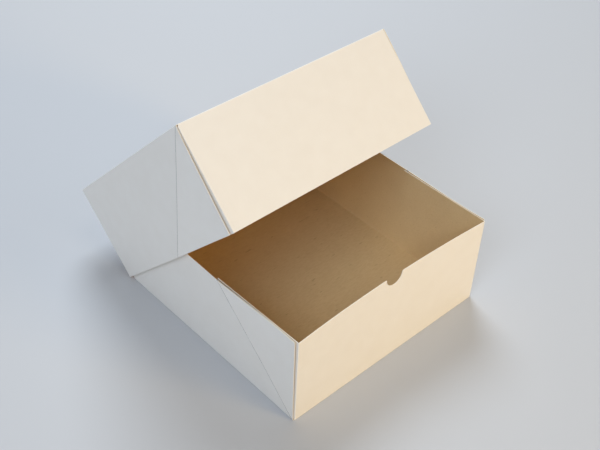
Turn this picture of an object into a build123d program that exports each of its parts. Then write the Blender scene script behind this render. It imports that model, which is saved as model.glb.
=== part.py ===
import os
from math import cos, radians, sin

from build123d import *

# Cake box of coated paperboard: one die-cut blank, folded and glued at its four front corners.
# It is drawn as the three rigid pieces that its two open folds leave:
# the base tray, the back panel and the lid.
# Origin: middle of the underside of the base. X across, Y towards the back fold, Z up.

# Board and its folds
board = 0.6
fold_radius = 0.5

# Base tray, outside sizes
base_width = 304.8
base_depth = 304.8
base_height = 127.0

# Lid: the room it leaves beside, in front of and above the base. Its walls reach as far down
# as the base's walls reach up.
lid_side_gap = 1.0
lid_front_gap = 0.6
lid_rise = 2.5

# Open folds: each panel stops this far short of the line that it folds about
fold_gap = 0.6
back_panel_inset = 1.4
corner_relief = 3.0

# Pose of the open box, in degrees: the back panel leans back from upright, and the lid is
# folded a little past square to it, so that its side walls stand on the table
back_lean = 51.5
lid_dip = 5.6

# Side walls stand out at the rim end of the 45 degree crease, and less at their rear end
base_left_bow = 4.0
base_right_bow = 1.2
base_rear_bow = 0.4
lid_left_bow = 8.0
lid_right_bow = 3.2
lid_rear_bow = 1.0
front_rim_sag = 5.6

# Cut edges of the side walls, set back from the folds at their foot and at their rim
base_front_set_back_foot = 1.3
base_front_set_back_rim = 3.2
lid_front_set_back_foot = 0.9
lid_front_set_back_rim = 4.7
base_rear_set_back_foot = 2.0
base_rear_set_back_rim = 2.5
lid_rear_set_back_foot = 5.0
lid_rear_set_back_rim = 11.2

# Glue flaps, folded in from the front walls and standing inside the side walls, with room for
# the glue between
flap_room = 0.06
flap_length = 132.0
flap_foot_rise = 2.0
flap_rear_rise = 34.0
flap_rim_drop = 2.5
flap_tip_radius = 3.0
base_flap_follow = 0.2
lid_flap_follow = 0.95
glue_bead_setback = 10.0
glue_bead_width = 5.0
glue_bead_length = 70.0

# Thumb notch in the front rim of the base
notch_radius = 12.7
notch_depth = 15.0
notch_shoulder = 1.8

# Sizes and places that follow
lid_height = base_height
back_height = base_height + lid_rise
back_width = base_width - 2 * back_panel_inset
lid_width = base_width + 2 * (lid_side_gap + 2 * board)
lid_depth = base_depth + lid_front_gap + board
lid_tilt = radians(back_lean - lid_dip)
up_the_back = Vector(0, sin(radians(back_lean)), cos(radians(back_lean)))
back_fold = Vector(0, base_depth / 2, board / 2)
lid_fold = back_fold + up_the_back * back_height
lid_rearwards = Vector(0, cos(lid_tilt), -sin(lid_tilt))
lid_downwards = Vector(0, -sin(lid_tilt), -cos(lid_tilt))

# Each tray has a frame on the outside of its flat panel, at the middle of its front fold:
# X across, Y to its back fold, Z to its rim. The lid's frame is upside down, so its X runs to
# the left of the box.
base_frame = Plane(origin=(0, -base_depth / 2, 0), x_dir=(1, 0, 0), z_dir=(0, 0, 1))
lid_origin = lid_fold - lid_rearwards * lid_depth - lid_downwards * (board / 2)
lid_frame = Plane(origin=lid_origin, x_dir=(-1, 0, 0), z_dir=lid_downwards)
back_frame = Plane(origin=back_fold, x_dir=(1, 0, 0), z_dir=Vector(1, 0, 0).cross(up_the_back))


def board_strip(side, outer_x, points):
    """Board seen on its cut edge: points are (y, bow) along its outer face."""
    outer = [(side * (outer_x + bow), y) for y, bow in points]
    inner = [(side * (outer_x - board + bow), y) for y, bow in reversed(points)]
    Polygon(*outer, *inner, align=None)


def flat_panel(frame, width, depth, front_set_back):
    """Bottom of the base or top of the lid: relieved corners, and three rounded folds."""
    half = width / 2
    front_half = half - board - flap_room
    rear_half = half - corner_relief
    start = front_set_back + board
    end = depth - fold_gap
    with BuildPart() as panel:
        with BuildSketch(frame):
            Polygon(
                (-front_half, 0),
                (front_half, 0),
                (front_half, start),
                (half, start),
                (half, end - corner_relief),
                (rear_half, end),
                (-rear_half, end),
                (-half, end - corner_relief),
                (-half, start),
                (-front_half, start),
                align=None,
            )
        extrude(amount=board)
        outside = panel.edges().filter_by(
            lambda edge: abs(frame.to_local_coords(edge.center()).Z) < board / 4
        )
        folds = outside.filter_by(
            lambda edge: edge.length > depth / 2
            and frame.to_local_coords(edge.center()).Y < depth * 0.75
        )
        fillet(folds, radius=fold_radius)
    return panel.part


def front_wall(frame, width, height, sag):
    """Front wall: straight at its fold, with a rim that sags inwards in one even curve."""
    half = width / 2 - board - flap_room
    with BuildPart() as wall:
        with BuildSketch(frame.offset(board)):
            with Locations((0, board / 2)):
                Rectangle(2 * half, board)
        with BuildSketch(frame.offset(height)):
            with BuildLine():
                if sag:
                    ThreePointArc((-half, 0), (0, sag), (half, 0))
                    ThreePointArc((half, board), (0, sag + board), (-half, board))
                else:
                    Line((-half, 0), (half, 0))
                    Line((half, board), (-half, board))
                Line((half, 0), (half, board))
                Line((-half, board), (-half, 0))
            make_face()
        loft(ruled=True)
    return wall.part


def side_wall(frame, side, width, depth, height, bows, front_set_back, rear_set_back):
    """Side wall in two facets that meet at the crease, which rises at 45 degrees."""
    bow, rear_bow = bows
    front_foot = (front_set_back[0], 0)
    front_rim = (front_set_back[1], bow * front_set_back[1] / height)
    crease_foot = (front_set_back[0] + board, 0)
    crease_rim = (height, bow)
    rear_foot = (depth - rear_set_back[0], 0)
    rear_rim = (depth - rear_set_back[1], rear_bow)
    with BuildPart() as wall:
        for foot, rim in (
            ((front_foot, crease_foot), (front_rim, crease_rim)),
            ((crease_foot, rear_foot), (crease_rim, rear_rim)),
        ):
            with BuildSketch(frame.offset(board)):
                board_strip(side, width / 2, foot)
            with BuildSketch(frame.offset(height)):
                board_strip(side, width / 2, rim)
            loft(ruled=True)
    return wall.part


def glue_flap(frame, side, width, height, bow):
    """Flap folded back from the front wall, with its lower edge cut away towards the tip."""
    outer_x = width / 2 - board - flap_room
    tip = flap_length
    upright = Plane(origin=frame.origin, x_dir=frame.y_dir, z_dir=frame.x_dir)
    with BuildPart() as flap:
        with BuildSketch(frame):
            board_strip(side, outer_x, [(0, 0), (tip, 0)])
        with BuildSketch(frame.offset(height)):
            board_strip(side, outer_x, [(0, 0), (tip, bow)])
        loft(ruled=True)
        with BuildSketch(upright):
            with BuildLine():
                FilletPolyline(
                    (-board, flap_foot_rise),
                    (tip, flap_rear_rise),
                    (tip, height - flap_rim_drop),
                    (-board, height),
                    radius=flap_tip_radius,
                )
                Line((-board, height), (-board, flap_foot_rise))
            make_face()
        extrude(amount=width, both=True, mode=Mode.INTERSECT)
    return flap.part


def glue_bead(frame, side, width, height, bow, flap_bow):
    """Bead of glue from the middle of a flap's board to the middle of its side wall's."""
    wall_x = width / 2 - board / 2 + bow * glue_bead_setback / height
    flap_x = width / 2 - board * 1.5 - flap_room + flap_bow / 2 * glue_bead_setback / flap_length
    with BuildPart() as bead:
        with BuildSketch(frame.offset((height - glue_bead_length) / 2)):
            with Locations((side * (wall_x + flap_x) / 2, glue_bead_setback)):
                Rectangle(wall_x - flap_x, glue_bead_width)
        extrude(amount=glue_bead_length)
    return bead.part


def thumb_notch(height, reach):
    """Cutter for the notch: a half round with a short straight neck and eased shoulders."""
    neck = height - notch_depth + notch_radius
    shoulder = height - notch_shoulder
    mouth = notch_radius + notch_shoulder
    above = height + notch_radius
    with BuildPart() as cutter:
        with BuildSketch(Plane(origin=base_frame.origin, x_dir=(1, 0, 0), z_dir=(0, -1, 0))):
            with BuildLine():
                CenterArc((0, neck), notch_radius, 180, 180)
                Line((notch_radius, neck), (notch_radius, shoulder))
                CenterArc((mouth, shoulder), notch_shoulder, 90, 90)
                Polyline((mouth, height), (mouth, above), (-mouth, above), (-mouth, height))
                CenterArc((-mouth, shoulder), notch_shoulder, 0, 90)
                Line((-notch_radius, shoulder), (-notch_radius, neck))
            make_face()
        extrude(amount=reach, both=True)
    return cutter.part


base_front = front_wall(base_frame, base_width, base_height, front_rim_sag)
base_front -= thumb_notch(base_height, 2 * (front_rim_sag + board))
base_walls = [base_front]
for side, bow in ((-1, base_left_bow), (1, base_right_bow)):
    flap_bow = bow * base_flap_follow
    base_walls += [
        side_wall(
            base_frame,
            side,
            base_width,
            base_depth,
            base_height,
            (bow, base_rear_bow),
            (base_front_set_back_foot, base_front_set_back_rim),
            (base_rear_set_back_foot, base_rear_set_back_rim),
        ),
        glue_flap(base_frame, side, base_width, base_height, flap_bow),
        glue_bead(base_frame, side, base_width, base_height, bow, flap_bow),
    ]

lid_walls = [front_wall(lid_frame, lid_width, lid_height, 0)]
for side, bow in ((-1, lid_right_bow), (1, lid_left_bow)):
    flap_bow = bow * lid_flap_follow
    lid_walls += [
        side_wall(
            lid_frame,
            side,
            lid_width,
            lid_depth,
            lid_height,
            (bow, lid_rear_bow),
            (lid_front_set_back_foot, lid_front_set_back_rim),
            (lid_rear_set_back_foot, lid_rear_set_back_rim),
        ),
        glue_flap(lid_frame, side, lid_width, lid_height, flap_bow),
        glue_bead(lid_frame, side, lid_width, lid_height, bow, flap_bow),
    ]

with BuildPart() as base_tray:
    add(flat_panel(base_frame, base_width, base_depth, base_front_set_back_foot))
    add(base_walls)

with BuildPart() as back_panel:
    with BuildSketch(back_frame.offset(-board / 2)):
        with Locations((0, back_height / 2)):
            Rectangle(back_width, back_height - 2 * fold_gap)
        chamfer(vertices(), length=corner_relief)
    extrude(amount=board)

with BuildPart() as lid:
    add(flat_panel(lid_frame, lid_width, lid_depth, lid_front_set_back_foot))
    add(lid_walls)

os.makedirs("parts", exist_ok=True)
base_tray.part.label = "base_tray"
back_panel.part.label = "back_panel"
lid.part.label = "lid"
export_step(base_tray.part, "parts/base_tray.step")
export_step(back_panel.part, "parts/back_panel.step")
export_step(lid.part, "parts/lid.step")
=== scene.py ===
from dataclasses import dataclass
from math import cos, pi, radians, sin

import bmesh
import bpy
from mathutils import Matrix, Vector


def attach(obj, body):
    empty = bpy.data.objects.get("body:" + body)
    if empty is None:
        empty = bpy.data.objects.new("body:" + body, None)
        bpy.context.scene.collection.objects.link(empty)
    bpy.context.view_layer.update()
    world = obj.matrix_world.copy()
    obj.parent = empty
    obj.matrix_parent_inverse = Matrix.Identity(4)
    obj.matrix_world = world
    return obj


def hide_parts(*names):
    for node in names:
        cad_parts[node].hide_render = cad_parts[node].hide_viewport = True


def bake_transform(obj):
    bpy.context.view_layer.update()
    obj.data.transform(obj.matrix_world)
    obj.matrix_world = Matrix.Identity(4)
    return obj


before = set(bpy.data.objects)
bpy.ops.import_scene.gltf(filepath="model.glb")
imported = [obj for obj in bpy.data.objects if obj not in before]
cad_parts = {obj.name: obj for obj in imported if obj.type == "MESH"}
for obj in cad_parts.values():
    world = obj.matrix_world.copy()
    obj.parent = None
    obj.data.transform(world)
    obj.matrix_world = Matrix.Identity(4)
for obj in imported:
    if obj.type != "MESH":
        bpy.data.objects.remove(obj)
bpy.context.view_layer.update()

# Board, its folds and its scored creases
mm = 0.001
board = 0.6 * mm
fold_radius = 0.8 * mm
score_depth = 0.3 * mm
score_width = 1.0 * mm

# Outside of the base, and the room that the lid leaves beside, in front of and above it
width = 304.8 * mm
depth = 304.8 * mm
height = 127 * mm
lid_side_gap = 1.0 * mm
lid_front_gap = 0.6 * mm
lid_rise = 2.5 * mm

# Back panel and open folds: each panel stops a gap short of the line that it folds about
back_panel_inset = 1.4 * mm
fold_gap = 0.6 * mm
corner_relief = 3 * mm

# Glue flaps, inside the side walls with a little room for the glue
flap_length = 132 * mm
flap_foot_rise = 2 * mm
flap_rear_rise = 34 * mm
flap_rim_drop = 1.4 * mm
seam_room = 0.06 * mm

# The free front edges of the side walls spring out, less and less over a reach behind them. The
# lift grows with this power of the height, so most of it is there just above the fold.
edge_lift = 2.0 * mm
edge_lift_reach = 60 * mm
edge_lift_power = 0.25

# Thumb notch in the front rim of the base
notch_radius = 12.7 * mm
notch_depth = 13.2 * mm
notch_shoulder = 1.2 * mm
notch_margin = 2 * mm
notch_steps = 16
shoulder_steps = 5

# Pose of the open box: the back panel's lean from upright, and the lid's slope from level
back_lean = radians(51.5)
lid_tilt = radians(45.9)

# How finely the sheets are made. A fold is cut at these shares of its radius, so it bends in four
# flats. A point within the snap of a cut, or within the slack of a line, counts as on it. Points
# within the merge distance become one, and an edge that turns by more than the angle is sharp.
grid_pitch = 9 * mm
fold_cuts = (-1, -0.5, 0, 0.5, 1)
strip_bend_steps = 4
knife_snap = 0.0001 * mm
line_slack = 0.001 * mm
merge_distance = 0.02 * mm
sharp_angle = radians(32)

# Sizes that follow
lid_width = width + 2 * (lid_side_gap + 2 * board)
lid_depth = depth + lid_front_gap + board
back_height = height + lid_rise
back_half = (width - 2 * back_panel_inset) / 2
notch_neck = height - notch_depth + notch_radius
notch_ease = height - notch_shoulder
notch_mouth = notch_radius + notch_shoulder

# Places of the two open folds, the ways that the panels run from them, and the way that the brown
# face of the back panel looks
across = Vector((1, 0, 0))
rearwards = Vector((0, 1, 0))
upwards = Vector((0, 0, 1))
up_the_back = Vector((0, sin(back_lean), cos(back_lean)))
back_inwards = across.cross(up_the_back)
lid_rearwards = Vector((0, cos(lid_tilt), -sin(lid_tilt)))
lid_downwards = Vector((0, -sin(lid_tilt), -cos(lid_tilt)))
back_fold = Vector((0, depth / 2, board / 2))
lid_fold = back_fold + up_the_back * back_height
lid_origin = lid_fold - lid_rearwards * lid_depth - lid_downwards * (board / 2)


def placed(origin, x_way, y_way, z_way):
    """The matrix that takes a sheet from its own axes to its place in the box."""
    turn = Matrix((x_way, y_way, z_way)).transposed().to_4x4()
    return Matrix.Translation(origin) @ turn


base_place = placed(Vector((0, -depth / 2, 0)), across, rearwards, upwards)
lid_place = placed(lid_origin, -across, lid_rearwards, lid_downwards)
back_place = placed(back_fold - back_inwards * (board / 2), across, up_the_back, back_inwards)


# Finishes

# Sockets of a Mix node that mixes colours
colour_a, colour_b, mixed = 6, 7, 2


def linear(colour):
    """An sRGB hex colour as linear RGBA."""
    parts = [int(colour[i:i + 2], 16) / 255 for i in (1, 3, 5)]
    return [c / 12.92 if c <= 0.04045 else ((c + 0.055) / 1.055) ** 2.4 for c in parts] + [1.0]


def add(tree, kind, inputs=None, **settings):
    """Adds a node, sets it, and sets or links its inputs."""
    made = tree.nodes.new(kind)
    for key, value in settings.items():
        setattr(made, key, value)
    for key, value in (inputs or {}).items():
        if isinstance(value, bpy.types.NodeSocket):
            tree.links.new(value, made.inputs[key])
        else:
            made.inputs[key].default_value = value
    return made


def new_finish(name):
    """An empty material and its node tree."""
    finish = bpy.data.materials.new(name)
    finish.use_nodes = True
    finish.node_tree.nodes.clear()
    return finish, finish.node_tree


def clay_coated_white():
    """White clay coating, calendered on the outside of the board: smooth, with a low satin sheen,
    faintly uneven where the fibres below show through as a soft mottle. The mottle is about 18 mm
    across. Fibres are drawn about 1 mm across, coarser than real, to show."""
    mottles_per_metre = 55
    fibres_per_metre = 900
    finish, tree = new_finish("clay_coated_white")
    place = add(tree, "ShaderNodeTexCoord").outputs["Object"]
    mottle = add(
        tree, "ShaderNodeTexNoise", {"Vector": place, "Scale": mottles_per_metre, "Detail": 3}
    )
    fibres = add(
        tree, "ShaderNodeTexNoise", {"Vector": place, "Scale": fibres_per_metre, "Detail": 2}
    )
    colour = add(
        tree,
        "ShaderNodeMix",
        {
            "Factor": mottle.outputs["Fac"],
            colour_a: linear("#F3F0EB"),
            colour_b: linear("#EEEAE4"),
        },
        data_type="RGBA",
    )
    gloss = add(
        tree,
        "ShaderNodeMapRange",
        {"Value": mottle.outputs["Fac"], "To Min": 0.42, "To Max": 0.54},
    )
    grain = add(
        tree,
        "ShaderNodeBump",
        {"Height": fibres.outputs["Fac"], "Strength": 0.12, "Distance": 0.12 * mm},
    )
    wave = add(
        tree,
        "ShaderNodeBump",
        {
            "Height": mottle.outputs["Fac"],
            "Normal": grain.outputs["Normal"],
            "Strength": 0.1,
            "Distance": 0.4 * mm,
        },
    )
    shader = add(
        tree,
        "ShaderNodeBsdfPrincipled",
        {
            "Base Color": colour.outputs[mixed],
            "Roughness": gloss.outputs["Result"],
            "Normal": wave.outputs["Normal"],
            "IOR": 1.5,
            "Specular IOR Level": 0.4,
        },
    )
    add(tree, "ShaderNodeOutputMaterial", {"Surface": shader.outputs["BSDF"]})
    return finish


def kraft_back():
    """Unbleached kraft on the inside of the board: matt brown, in soft clouds about 26 mm across,
    with fibres that run along the grain and a few darker shives. Fibres are drawn 1.25 mm wide and
    4 to 5 times as long, and shives from a pattern 3 mm wide, coarser than real, to show."""
    fibres_per_metre = 1 / (1.25 * mm)
    shives_per_metre = 330
    clouds_per_metre = 38
    along_grain = 0.22
    finish, tree = new_finish("kraft_back")
    place = add(tree, "ShaderNodeTexCoord").outputs["Object"]
    mapping = add(tree, "ShaderNodeMapping", {"Vector": place, "Scale": (along_grain, 1, 1)})
    along = mapping.outputs["Vector"]
    fibres = add(
        tree, "ShaderNodeTexNoise", {"Vector": along, "Scale": fibres_per_metre, "Detail": 4}
    )
    cloud = add(
        tree, "ShaderNodeTexNoise", {"Vector": place, "Scale": clouds_per_metre, "Detail": 4}
    )
    shives = add(
        tree, "ShaderNodeTexNoise", {"Vector": along, "Scale": shives_per_metre, "Detail": 1}
    )
    body = add(
        tree,
        "ShaderNodeMix",
        {
            "Factor": cloud.outputs["Fac"],
            colour_a: linear("#EBD2A4"),
            colour_b: linear("#E2C798"),
        },
        data_type="RGBA",
    )
    strands = add(
        tree,
        "ShaderNodeMapRange",
        {"Value": fibres.outputs["Fac"], "From Min": 0.4, "From Max": 0.65, "To Max": 0.3},
    )
    fibrous = add(
        tree,
        "ShaderNodeMix",
        {
            "Factor": strands.outputs["Result"],
            colour_a: body.outputs[mixed],
            colour_b: linear("#D2B384"),
        },
        data_type="RGBA",
    )
    specks = add(
        tree,
        "ShaderNodeMapRange",
        {"Value": shives.outputs["Fac"], "From Min": 0.71, "From Max": 0.76, "To Max": 0.3},
    )
    colour = add(
        tree,
        "ShaderNodeMix",
        {
            "Factor": specks.outputs["Result"],
            colour_a: fibrous.outputs[mixed],
            colour_b: linear("#9C7A50"),
        },
        data_type="RGBA",
    )
    grain = add(
        tree,
        "ShaderNodeBump",
        {"Height": fibres.outputs["Fac"], "Strength": 0.25, "Distance": 0.15 * mm},
    )
    shader = add(
        tree,
        "ShaderNodeBsdfPrincipled",
        {
            "Base Color": colour.outputs[mixed],
            "Roughness": 0.72,
            "Normal": grain.outputs["Normal"],
            "IOR": 1.47,
            "Specular IOR Level": 0.3,
        },
    )
    add(tree, "ShaderNodeOutputMaterial", {"Surface": shader.outputs["BSDF"]})
    return finish


def die_cut_edge():
    """Edge left by the cutting die: pale fibre, rough and matt, a little uneven along its length.
    Tufts are drawn about 1.4 mm long, coarser than real, to show."""
    tufts_per_metre = 700
    finish, tree = new_finish("die_cut_edge")
    place = add(tree, "ShaderNodeTexCoord").outputs["Object"]
    tufts = add(
        tree, "ShaderNodeTexNoise", {"Vector": place, "Scale": tufts_per_metre, "Detail": 3}
    )
    colour = add(
        tree,
        "ShaderNodeMix",
        {
            "Factor": tufts.outputs["Fac"],
            colour_a: linear("#FFFAF0"),
            colour_b: linear("#F6EEDD"),
        },
        data_type="RGBA",
    )
    nap = add(
        tree,
        "ShaderNodeBump",
        {"Height": tufts.outputs["Fac"], "Strength": 0.4, "Distance": 0.1 * mm},
    )
    shader = add(
        tree,
        "ShaderNodeBsdfPrincipled",
        {
            "Base Color": colour.outputs[mixed],
            "Roughness": 0.85,
            "Normal": nap.outputs["Normal"],
            "Specular IOR Level": 0.2,
        },
    )
    add(tree, "ShaderNodeOutputMaterial", {"Surface": shader.outputs["BSDF"]})
    return finish


def crease_painted_shade():
    """Grey stripe along a crease, greyer and duller than the white coating: painted shade for the
    shadow in the scored groove, so that the crease reads as a fine line. Its grey varies at about 1
    mm."""
    shade_flecks_per_metre = 900
    finish, tree = new_finish("crease_painted_shade")
    place = add(tree, "ShaderNodeTexCoord").outputs["Object"]
    shade_flecks = add(
        tree, "ShaderNodeTexNoise", {"Vector": place, "Scale": shade_flecks_per_metre, "Detail": 3}
    )
    # Two greys of painted shade, darker than the white coating, for the shadow in the groove
    colour = add(
        tree,
        "ShaderNodeMix",
        {
            "Factor": shade_flecks.outputs["Fac"],
            colour_a: linear("#ADACA9"),
            colour_b: linear("#9A9893"),
        },
        data_type="RGBA",
    )
    shader = add(
        tree,
        "ShaderNodeBsdfPrincipled",
        {"Base Color": colour.outputs[mixed], "Roughness": 0.8, "Specular IOR Level": 0.2},
    )
    add(tree, "ShaderNodeOutputMaterial", {"Surface": shader.outputs["BSDF"]})
    return finish


# The finishes of the board, and their places in the list; the last is painted shade for creases
board_finishes = [clay_coated_white(), kraft_back(), die_cut_edge(), crease_painted_shade()]
outside, inside, cut_edge, crease_shade = range(4)


# Trays

@dataclass
class Tray:
    """The base or the lid, in its own frame: X across, Y from its front fold to the open fold at
    its rear, Z from its flat panel to its rim. The lid is upside down, so its X runs to the left
    of the box. A cut is how far the edges of the side walls stand back from the fold, at the foot
    and at the rim. Bows are how far the side walls stand out beside their creases, by side, and
    the glue flaps follow by a share of that."""
    wide: float
    deep: float
    front_cut: tuple
    rear_cut: tuple
    bows: dict
    rear_bow: float
    flap_follow: float
    rim_sag: float
    notched: bool

    def __post_init__(self):
        self.half = self.wide / 2
        self.front_half = self.half - board - seam_room
        self.start = self.front_cut[0]
        self.end = self.deep - fold_gap

    def front_edge(self, up):
        """Where the side walls begin, at a share of their height."""
        return self.front_cut[0] + (self.front_cut[1] - self.front_cut[0]) * up

    def rear_edge(self, up):
        """Where the side walls end, at a share of their height."""
        return self.deep - self.rear_cut[0] - (self.rear_cut[1] - self.rear_cut[0]) * up


base = Tray(
    wide=width,
    deep=depth,
    front_cut=(1.3 * mm, 3.2 * mm),
    rear_cut=(2.0 * mm, 2.5 * mm),
    bows={-1: 4.0 * mm, 1: 1.2 * mm},
    rear_bow=0.4 * mm,
    flap_follow=0.2,
    rim_sag=5.6 * mm,
    notched=True,
)
lid = Tray(
    wide=lid_width,
    deep=lid_depth,
    front_cut=(0.9 * mm, 4.7 * mm),
    rear_cut=(5.0 * mm, 11.2 * mm),
    bows={-1: 3.2 * mm, 1: 8.0 * mm},
    rear_bow=1.0 * mm,
    flap_follow=0.95,
    rim_sag=0.0,
    notched=False,
)


# Cutting the sheets

def near(sheet, test):
    """Faces whose middle passes a test on its (x, y), with their edges and vertices."""
    faces = [f for f in sheet.faces if test(*f.calc_center_median().xy)]
    edges = {e for f in faces for e in f.edges}
    corners = {v for f in faces for v in f.verts}
    return faces + list(edges) + list(corners)


def knife(sheet, start, end, test=lambda x, y: True):
    """Cuts the sheet along the line through two points, where the faces pass the test."""
    way = Vector(end) - Vector(start)
    bmesh.ops.bisect_plane(
        sheet,
        geom=near(sheet, test),
        dist=knife_snap,
        plane_co=(start[0], start[1], 0),
        plane_no=(way.y, -way.x, 0),
    )


def scrap(sheet, test):
    """Removes the faces whose middle passes the test."""
    waste = [f for f in sheet.faces if test(*f.calc_center_median().xy)]
    bmesh.ops.delete(sheet, geom=waste, context="FACES")


def new_sheet(left, right, front, rear):
    """A flat sheet in squares, with its white face down."""
    sheet = bmesh.new()
    columns = round((right - left) / grid_pitch)
    rows = round((rear - front) / grid_pitch)
    bmesh.ops.create_grid(sheet, x_segments=columns, y_segments=rows, size=0.5)
    bmesh.ops.scale(sheet, vec=(right - left, rear - front, 1), verts=sheet.verts)
    middle = ((left + right) / 2, (front + rear) / 2, 0)
    bmesh.ops.translate(sheet, vec=middle, verts=sheet.verts)
    bmesh.ops.reverse_faces(sheet, faces=sheet.faces)
    return sheet


def score_folds(sheet, tray):
    """Cuts along each fold, so that it can bend round, and across where the side walls begin."""
    for share in fold_cuts:
        bend = share * fold_radius
        knife(sheet, (0, bend), (1, bend))
        for side in (-1, 1):
            wall_fold = side * tray.half + bend
            flap_fold = side * tray.front_half + bend
            knife(sheet, (wall_fold, 0), (wall_fold, 1), lambda x, y: y > 0)
            knife(sheet, (flap_fold, 0), (flap_fold, 1), lambda x, y: y < 0)
    knife(sheet, (0, tray.start), (1, tray.start))


def cut_side(sheet, tray, side):
    """Cuts one side of the blank: its wall, scored at 45 degrees, the relief of its rear corner,
    the nick at its front corner, and its glue flap."""
    def on_wall(x, y):
        return side * x > tray.half and y > 0

    def on_bottom(x, y):
        return abs(x) < tray.half and side * x > 0 and y > tray.deep / 2

    def on_front(x, y):
        return side * x > 0 and y < 2 * tray.start

    def on_flap(x, y):
        return side * x > tray.front_half and y < 0

    foot = side * tray.half
    rim = side * (tray.half + height)
    for shift in (-score_width / 2, 0, score_width / 2):
        crease = tray.start + board + shift
        knife(sheet, (foot, crease), (rim, crease + height), on_wall)
    knife(sheet, (rim, 0), (rim, 1), on_wall)
    knife(sheet, (foot, tray.front_edge(0)), (rim, tray.front_edge(1)), on_wall)
    knife(sheet, (foot, tray.rear_edge(0)), (rim, tray.rear_edge(1)), on_wall)

    relief = foot - side * corner_relief
    knife(sheet, (relief, tray.end), (foot, tray.end - corner_relief), on_bottom)

    nick = side * (tray.front_half - fold_radius)
    knife(sheet, (nick, 0), (nick, 1), on_front)
    knife(sheet, (nick, -flap_foot_rise), (0, -flap_foot_rise), on_front)

    root = side * tray.front_half
    tip = root + side * flap_length
    knife(sheet, (root, -flap_foot_rise), (tip, -flap_rear_rise), on_flap)
    knife(sheet, (root, -height), (tip, -height + flap_rim_drop), on_flap)
    knife(sheet, (tip, 0), (tip, 1), on_flap)


def is_waste(tray, x, y):
    """Whether a point of the flat sheet lies outside the tray's blank."""
    out = abs(x) - tray.half
    along = abs(x) - tray.front_half
    in_nick = along > -fold_radius and -flap_foot_rise < y < tray.start
    if in_nick:
        return True
    if y < 0:
        low = flap_foot_rise + (flap_rear_rise - flap_foot_rise) * along / flap_length
        high = height - flap_rim_drop * along / flap_length
        return along > 0 and not (along < flap_length and low < -y < high)
    if out > height:
        return True
    if out > 0:
        up = out / height
        return not tray.front_edge(up) < y < tray.rear_edge(up)
    return -out + tray.end - y < corner_relief


def notch_outline():
    """Points of the thumb notch, from its left shoulder round to its right one, as (x, height)."""
    bowl = [pi + pi * i / notch_steps for i in range(notch_steps + 1)]
    ease = [pi / 2 * i / shoulder_steps for i in range(shoulder_steps + 1)]
    left = [
        (-notch_mouth + notch_shoulder * sin(a), notch_ease + notch_shoulder * cos(a)) for a in ease
    ]
    round_part = [(notch_radius * cos(a), notch_neck + notch_radius * sin(a)) for a in bowl]
    right = [(-x, z) for x, z in reversed(left)]
    return left + round_part + right


def in_notch(x, y):
    """Whether a point of the flat front wall lies in the notch."""
    rise = -y
    if rise < notch_neck:
        return x * x + (rise - notch_neck) ** 2 < notch_radius ** 2
    if rise < notch_ease:
        return abs(x) < notch_radius
    from_shoulder = (abs(x) - notch_mouth) ** 2 + (rise - notch_ease) ** 2
    return abs(x) < notch_mouth and from_shoulder > notch_shoulder ** 2


def cut_notch(sheet):
    """Cuts the thumb notch from the front wall, inside a frame that keeps its cuts together."""
    beside = notch_radius + 3 * notch_shoulder
    below = -height + notch_depth + notch_margin
    for edge in (-beside, beside):
        knife(sheet, (edge, 0), (edge, 1), lambda x, y: abs(x) < 2 * beside and y < 0)
    knife(sheet, (0, below), (1, below), lambda x, y: abs(x) < beside and y < 0)
    points = [(x, -rise) for x, rise in notch_outline()]
    for one, two in zip(points, points[1:]):
        knife(sheet, one, two, lambda x, y: abs(x) < beside and y < below)
    scrap(sheet, lambda x, y: y < 0 and in_notch(x, y))


def cut_tray(tray):
    """The flat blank of a tray, cut to its outline and scored at its creases."""
    reach = max(tray.half + height, tray.front_half + flap_length)
    sheet = new_sheet(-reach, reach, -height, tray.end)
    score_folds(sheet, tray)
    for side in (-1, 1):
        cut_side(sheet, tray, side)
    scrap(sheet, lambda x, y: is_waste(tray, x, y))
    if tray.notched:
        cut_notch(sheet)
    bmesh.ops.remove_doubles(sheet, verts=sheet.verts, dist=merge_distance)
    return sheet


def cut_back():
    """The flat back panel, with its four corners relieved."""
    low = fold_gap
    high = back_height - fold_gap
    sheet = new_sheet(-back_half, back_half, low, high)
    for side in (-1, 1):
        edge = side * back_half
        inner = edge - side * corner_relief
        for y, inward in ((low, 1), (high, -1)):
            knife(sheet, (inner, y), (edge, y + inward * corner_relief))

    def is_corner(x, y):
        return back_half - abs(x) + min(y - low, high - y) < corner_relief

    scrap(sheet, is_corner)
    return sheet


# Folding the trays

def press_creases(sheet, tray):
    """Presses the 45 degree scores: a fine groove in the white face, a bead on the brown one, and
    a grey stripe of painted shade along the groove."""
    for v in sheet.verts:
        out = abs(v.co.x) - tray.half
        line = tray.start + board + out
        if out > fold_radius and v.co.y > 0 and abs(v.co.y - line) < line_slack:
            v.co.z += score_depth
    for face in sheet.faces:
        x, y = face.calc_center_median().xy
        out = abs(x) - tray.half
        # The faces along the crease get the grey of painted shade for the groove
        if out > 0 and y > 0 and abs(y - tray.start - board - out) < score_width / 2:
            face.material_index = crease_shade


def rolled(flat, fold, side):
    """Where a point goes that lies across a square fold: its place along the first leg of the
    folded sheet, its rise along the second, and how far the sheet has turned there."""
    past = side * (flat - fold)
    if past < -fold_radius:
        return flat, 0.0, 0.0
    if past > fold_radius:
        return fold, past, pi / 2
    angle = (past / fold_radius + 1) * pi / 4
    back = fold_radius * (1 - sin(angle))
    return fold - side * back, fold_radius * (1 - cos(angle)), angle


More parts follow.
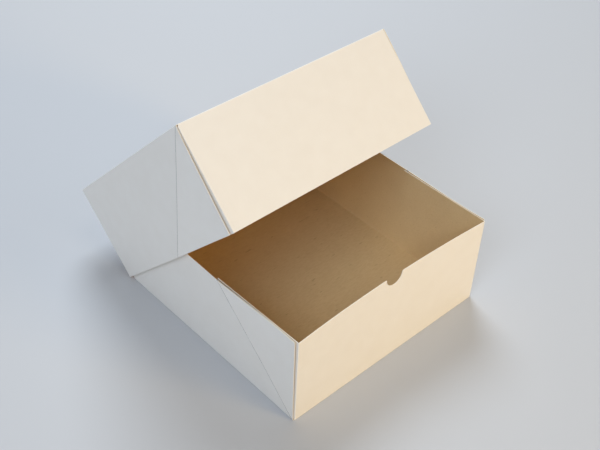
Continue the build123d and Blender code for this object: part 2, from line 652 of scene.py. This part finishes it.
def fold_tray(sheet, tray):
    """Folds up the side walls and the flaps, and then the front wall with its flaps."""
    for v in sheet.verts:
        x, y, raised = v.co
        side = 1 if x > 0 else -1
        fold = side * (tray.half if y > 0 else tray.front_half)
        leg, rise, angle = rolled(x, fold, side)
        v.co.x = leg - side * raised * sin(angle)
        v.co.z = rise + raised * cos(angle)
    for v in sheet.verts:
        x, y, z = v.co
        if y < fold_radius and abs(x) < tray.half - board:
            leg, rise, angle = rolled(y, 0.0, -1)
            v.co.y = leg + z * sin(angle)
            v.co.z = rise + z * cos(angle)


def spring_tray(sheet, tray):
    """Lets the folded board spring. The side walls stand out along a ridge beside each crease and
    the flaps follow them in part. The front rim sags in, and the free front edges of the side
    walls lift off the flaps, almost as much near their feet as at the rim."""
    for v in sheet.verts:
        x, y, z = v.co
        side = 1 if x > 0 else -1
        bow = tray.bows[side]
        up = max(0.0, min(1.0, z / height))
        if abs(x) > tray.half - board and z > fold_radius / 2:
            ridge = tray.start + board + (height - tray.start - board) * up
            if y < ridge:
                out = bow * up * y / ridge
            else:
                behind = tray.rear_edge(up) - ridge
                out = up * (bow + (tray.rear_bow - bow) * (y - ridge) / behind)
            lift = edge_lift * max(0.0, 1 - y / edge_lift_reach) ** 2
            v.co.x += side * (out + lift * up ** edge_lift_power)
        elif abs(abs(x) - tray.front_half) < line_slack and y > fold_radius / 2:
            v.co.x += side * bow * tray.flap_follow * up * y / flap_length
        elif y < 2 * fold_radius and z > fold_radius / 2:
            v.co.y += tray.rim_sag * up * (1 - (x / tray.front_half) ** 2)


def folded(tray):
    """A tray's sheet, cut, creased, folded up and sprung."""
    sheet = cut_tray(tray)
    press_creases(sheet, tray)
    fold_tray(sheet, tray)
    spring_tray(sheet, tray)
    return sheet


def boarded(name, sheet, place, body, node):
    """Gives a sheet the thickness of the board and its finishes, and puts it in place. A crease has
    the painted shade on both faces, because it has the last finish and the offsets go no further."""
    mesh = bpy.data.meshes.new(name)
    for face in sheet.faces:
        face.smooth = True
    sheet.to_mesh(mesh)
    sheet.free()
    draft = bpy.data.objects.new(name, mesh)
    bpy.context.collection.objects.link(draft)
    for finish in board_finishes:
        mesh.materials.append(finish)
    thick = draft.modifiers.new("board", "SOLIDIFY")
    thick.thickness = board
    thick.offset = -1
    thick.use_even_offset = True
    thick.material_offset = inside
    thick.material_offset_rim = cut_edge
    graph = bpy.context.evaluated_depsgraph_get()
    final = bpy.data.meshes.new_from_object(draft.evaluated_get(graph))
    bpy.data.objects.remove(draft)
    bpy.data.meshes.remove(mesh)
    shell = bmesh.new()
    shell.from_mesh(final)
    shell.normal_update()
    for edge in shell.edges:
        sharp = len(edge.link_faces) == 2 and edge.calc_face_angle(0) > sharp_angle
        edge.smooth = not sharp
    bmesh.ops.transform(shell, matrix=place, verts=shell.verts)
    shell.to_mesh(final)
    shell.free()
    final.name = name
    piece = bpy.data.objects.new(name, final)
    bpy.context.collection.objects.link(piece)
    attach(piece, body)
    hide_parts(node)


boarded("folded_base", folded(base), base_place, "base", "base_tray")
boarded("folded_lid", folded(lid), lid_place, "lid", "lid")
boarded("folded_back", cut_back(), back_place, "back", "back_panel")


# Open folds


def fold_strip(name, fold, first_way, second_way, outer_way):
    """The strip of board that bends at an open fold: a rounded white outside, a brown crook
    inside."""
    first_out, second_out = outer_way
    middle_out = (first_out + second_out).normalized()
    along = (first_way + second_way).normalized()
    crook = fold - middle_out * (board / 2 / cos(first_way.angle(second_way) / 2))
    first_end = fold - first_way * fold_gap
    second_end = fold + second_way * fold_gap
    profile = [first_end + first_out * (board / 2)]
    for step in range(strip_bend_steps + 1):
        way = first_out.slerp(second_out, step / strip_bend_steps)
        profile.append(fold + way * (board / 2))
    profile.append(second_end + second_out * (board / 2))
    profile.append(second_end - second_out * (board / 2))
    profile.append(crook)
    profile.append(first_end - first_out * (board / 2))

    half = back_half - corner_relief
    strip = bmesh.new()
    ring = [strip.verts.new(p - across * half) for p in profile]
    cap = strip.faces.new(ring)
    swept = bmesh.ops.extrude_face_region(strip, geom=[cap])
    moved = [v for v in swept["geom"] if isinstance(v, bmesh.types.BMVert)]
    bmesh.ops.translate(strip, vec=across * 2 * half, verts=moved)
    bmesh.ops.recalc_face_normals(strip, faces=strip.faces)
    square_on = 0.9
    for face in strip.faces:
        at_side = abs(face.normal.dot(across)) > square_on
        at_end = abs(face.normal.dot(along)) > square_on
        if at_side or at_end:
            face.material_index = cut_edge
        elif (face.calc_center_median() - fold).dot(middle_out) > 0:
            face.material_index = outside
        else:
            face.material_index = inside
    mesh = bpy.data.meshes.new(name)
    strip.to_mesh(mesh)
    strip.free()
    for finish in board_finishes:
        mesh.materials.append(finish)
    piece = bpy.data.objects.new(name, mesh)
    bpy.context.collection.objects.link(piece)
    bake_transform(piece)


fold_strip(
    "back_fold_strip",
    back_fold,
    rearwards,
    up_the_back,
    (-upwards, -back_inwards),
)
fold_strip(
    "lid_fold_strip",
    lid_fold,
    up_the_back,
    -lid_rearwards,
    (-back_inwards, -lid_downwards),
)


# Table

# Half its width in metres, and how far it lies below the base so that the faces stay apart
table_half = 20
table_drop = 0.2 * mm

floor = bmesh.new()
bmesh.ops.create_grid(floor, x_segments=1, y_segments=1, size=table_half)
bmesh.ops.translate(floor, vec=(0, 0, -table_drop), verts=floor.verts)
floor_mesh = bpy.data.meshes.new("table_top")
floor.to_mesh(floor_mesh)
floor.free()
table_finish, tree = new_finish("pale_table")
shader = add(
    tree,
    "ShaderNodeBsdfPrincipled",
    {"Base Color": linear("#C6C8CC"), "Roughness": 0.6, "Specular IOR Level": 0.25},
)
add(tree, "ShaderNodeOutputMaterial", {"Surface": shader.outputs["BSDF"]})
floor_mesh.materials.append(table_finish)
table_top = bpy.data.objects.new("table_top", floor_mesh)
bpy.context.collection.objects.link(table_top)


# Light

room_white = (1, 1, 1, 1)
room_strength = 0.24
lamp_target = Vector((0, 0, 0.1))

world = bpy.data.worlds.new("room")
world.use_nodes = True
background = world.node_tree.nodes["Background"]
background.inputs["Color"].default_value = room_white
background.inputs["Strength"].default_value = room_strength
bpy.context.scene.world = world


def lamp(name, azimuth, elevation, reach, size, watts, colour):
    """A round soft light turned towards the box. Azimuth and elevation are in degrees, from +X
    towards +Y and from level, reach and size in metres, and the colour is linear."""
    light = bpy.data.lights.new(name, "AREA")
    light.shape = "DISK"
    light.size = size
    light.energy = watts
    light.color = colour
    holder = bpy.data.objects.new(name, light)
    bpy.context.collection.objects.link(holder)
    flat = reach * cos(radians(elevation))
    x = flat * cos(radians(azimuth))
    y = flat * sin(radians(azimuth))
    place = Vector((x, y, reach * sin(radians(elevation))))
    holder.location = place
    holder.rotation_euler = (lamp_target - place).to_track_quat("-Z", "Y").to_euler()


lamp("window_behind", 55, 52, 2.8, 1.4, 50, (0.84, 0.92, 1))
lamp("window_left", -155, 40, 3.2, 1.8, 40, (0.78, 0.88, 1))
lamp("room_above", -95, 78, 2.8, 1.2, 5, (1, 0.89, 0.72))
lamp("warm_lamp_right", -72, 15, 2.8, 1.0, 36, (1, 0.7, 0.3))


# Camera, fitted to the corners of the box in the photograph

camera_place = (-0.67017, -0.67117, 0.92301)
camera_azimuth = radians(-44.587)
camera_elevation = radians(40.796)
camera_roll = radians(2.944)

camera = bpy.data.cameras.new("camera")
camera.sensor_width = 36
camera.lens = 61.981
viewer = bpy.data.objects.new("camera", camera)
bpy.context.collection.objects.link(viewer)
turn = Matrix.Rotation(camera_azimuth, 4, "Z")
turn = turn @ Matrix.Rotation(pi / 2 - camera_elevation, 4, "X")
turn = turn @ Matrix.Rotation(camera_roll, 4, "Z")
viewer.matrix_world = Matrix.Translation(camera_place) @ turn
bpy.context.scene.camera = viewer
bpy.context.scene.view_settings.view_transform = "Standard"
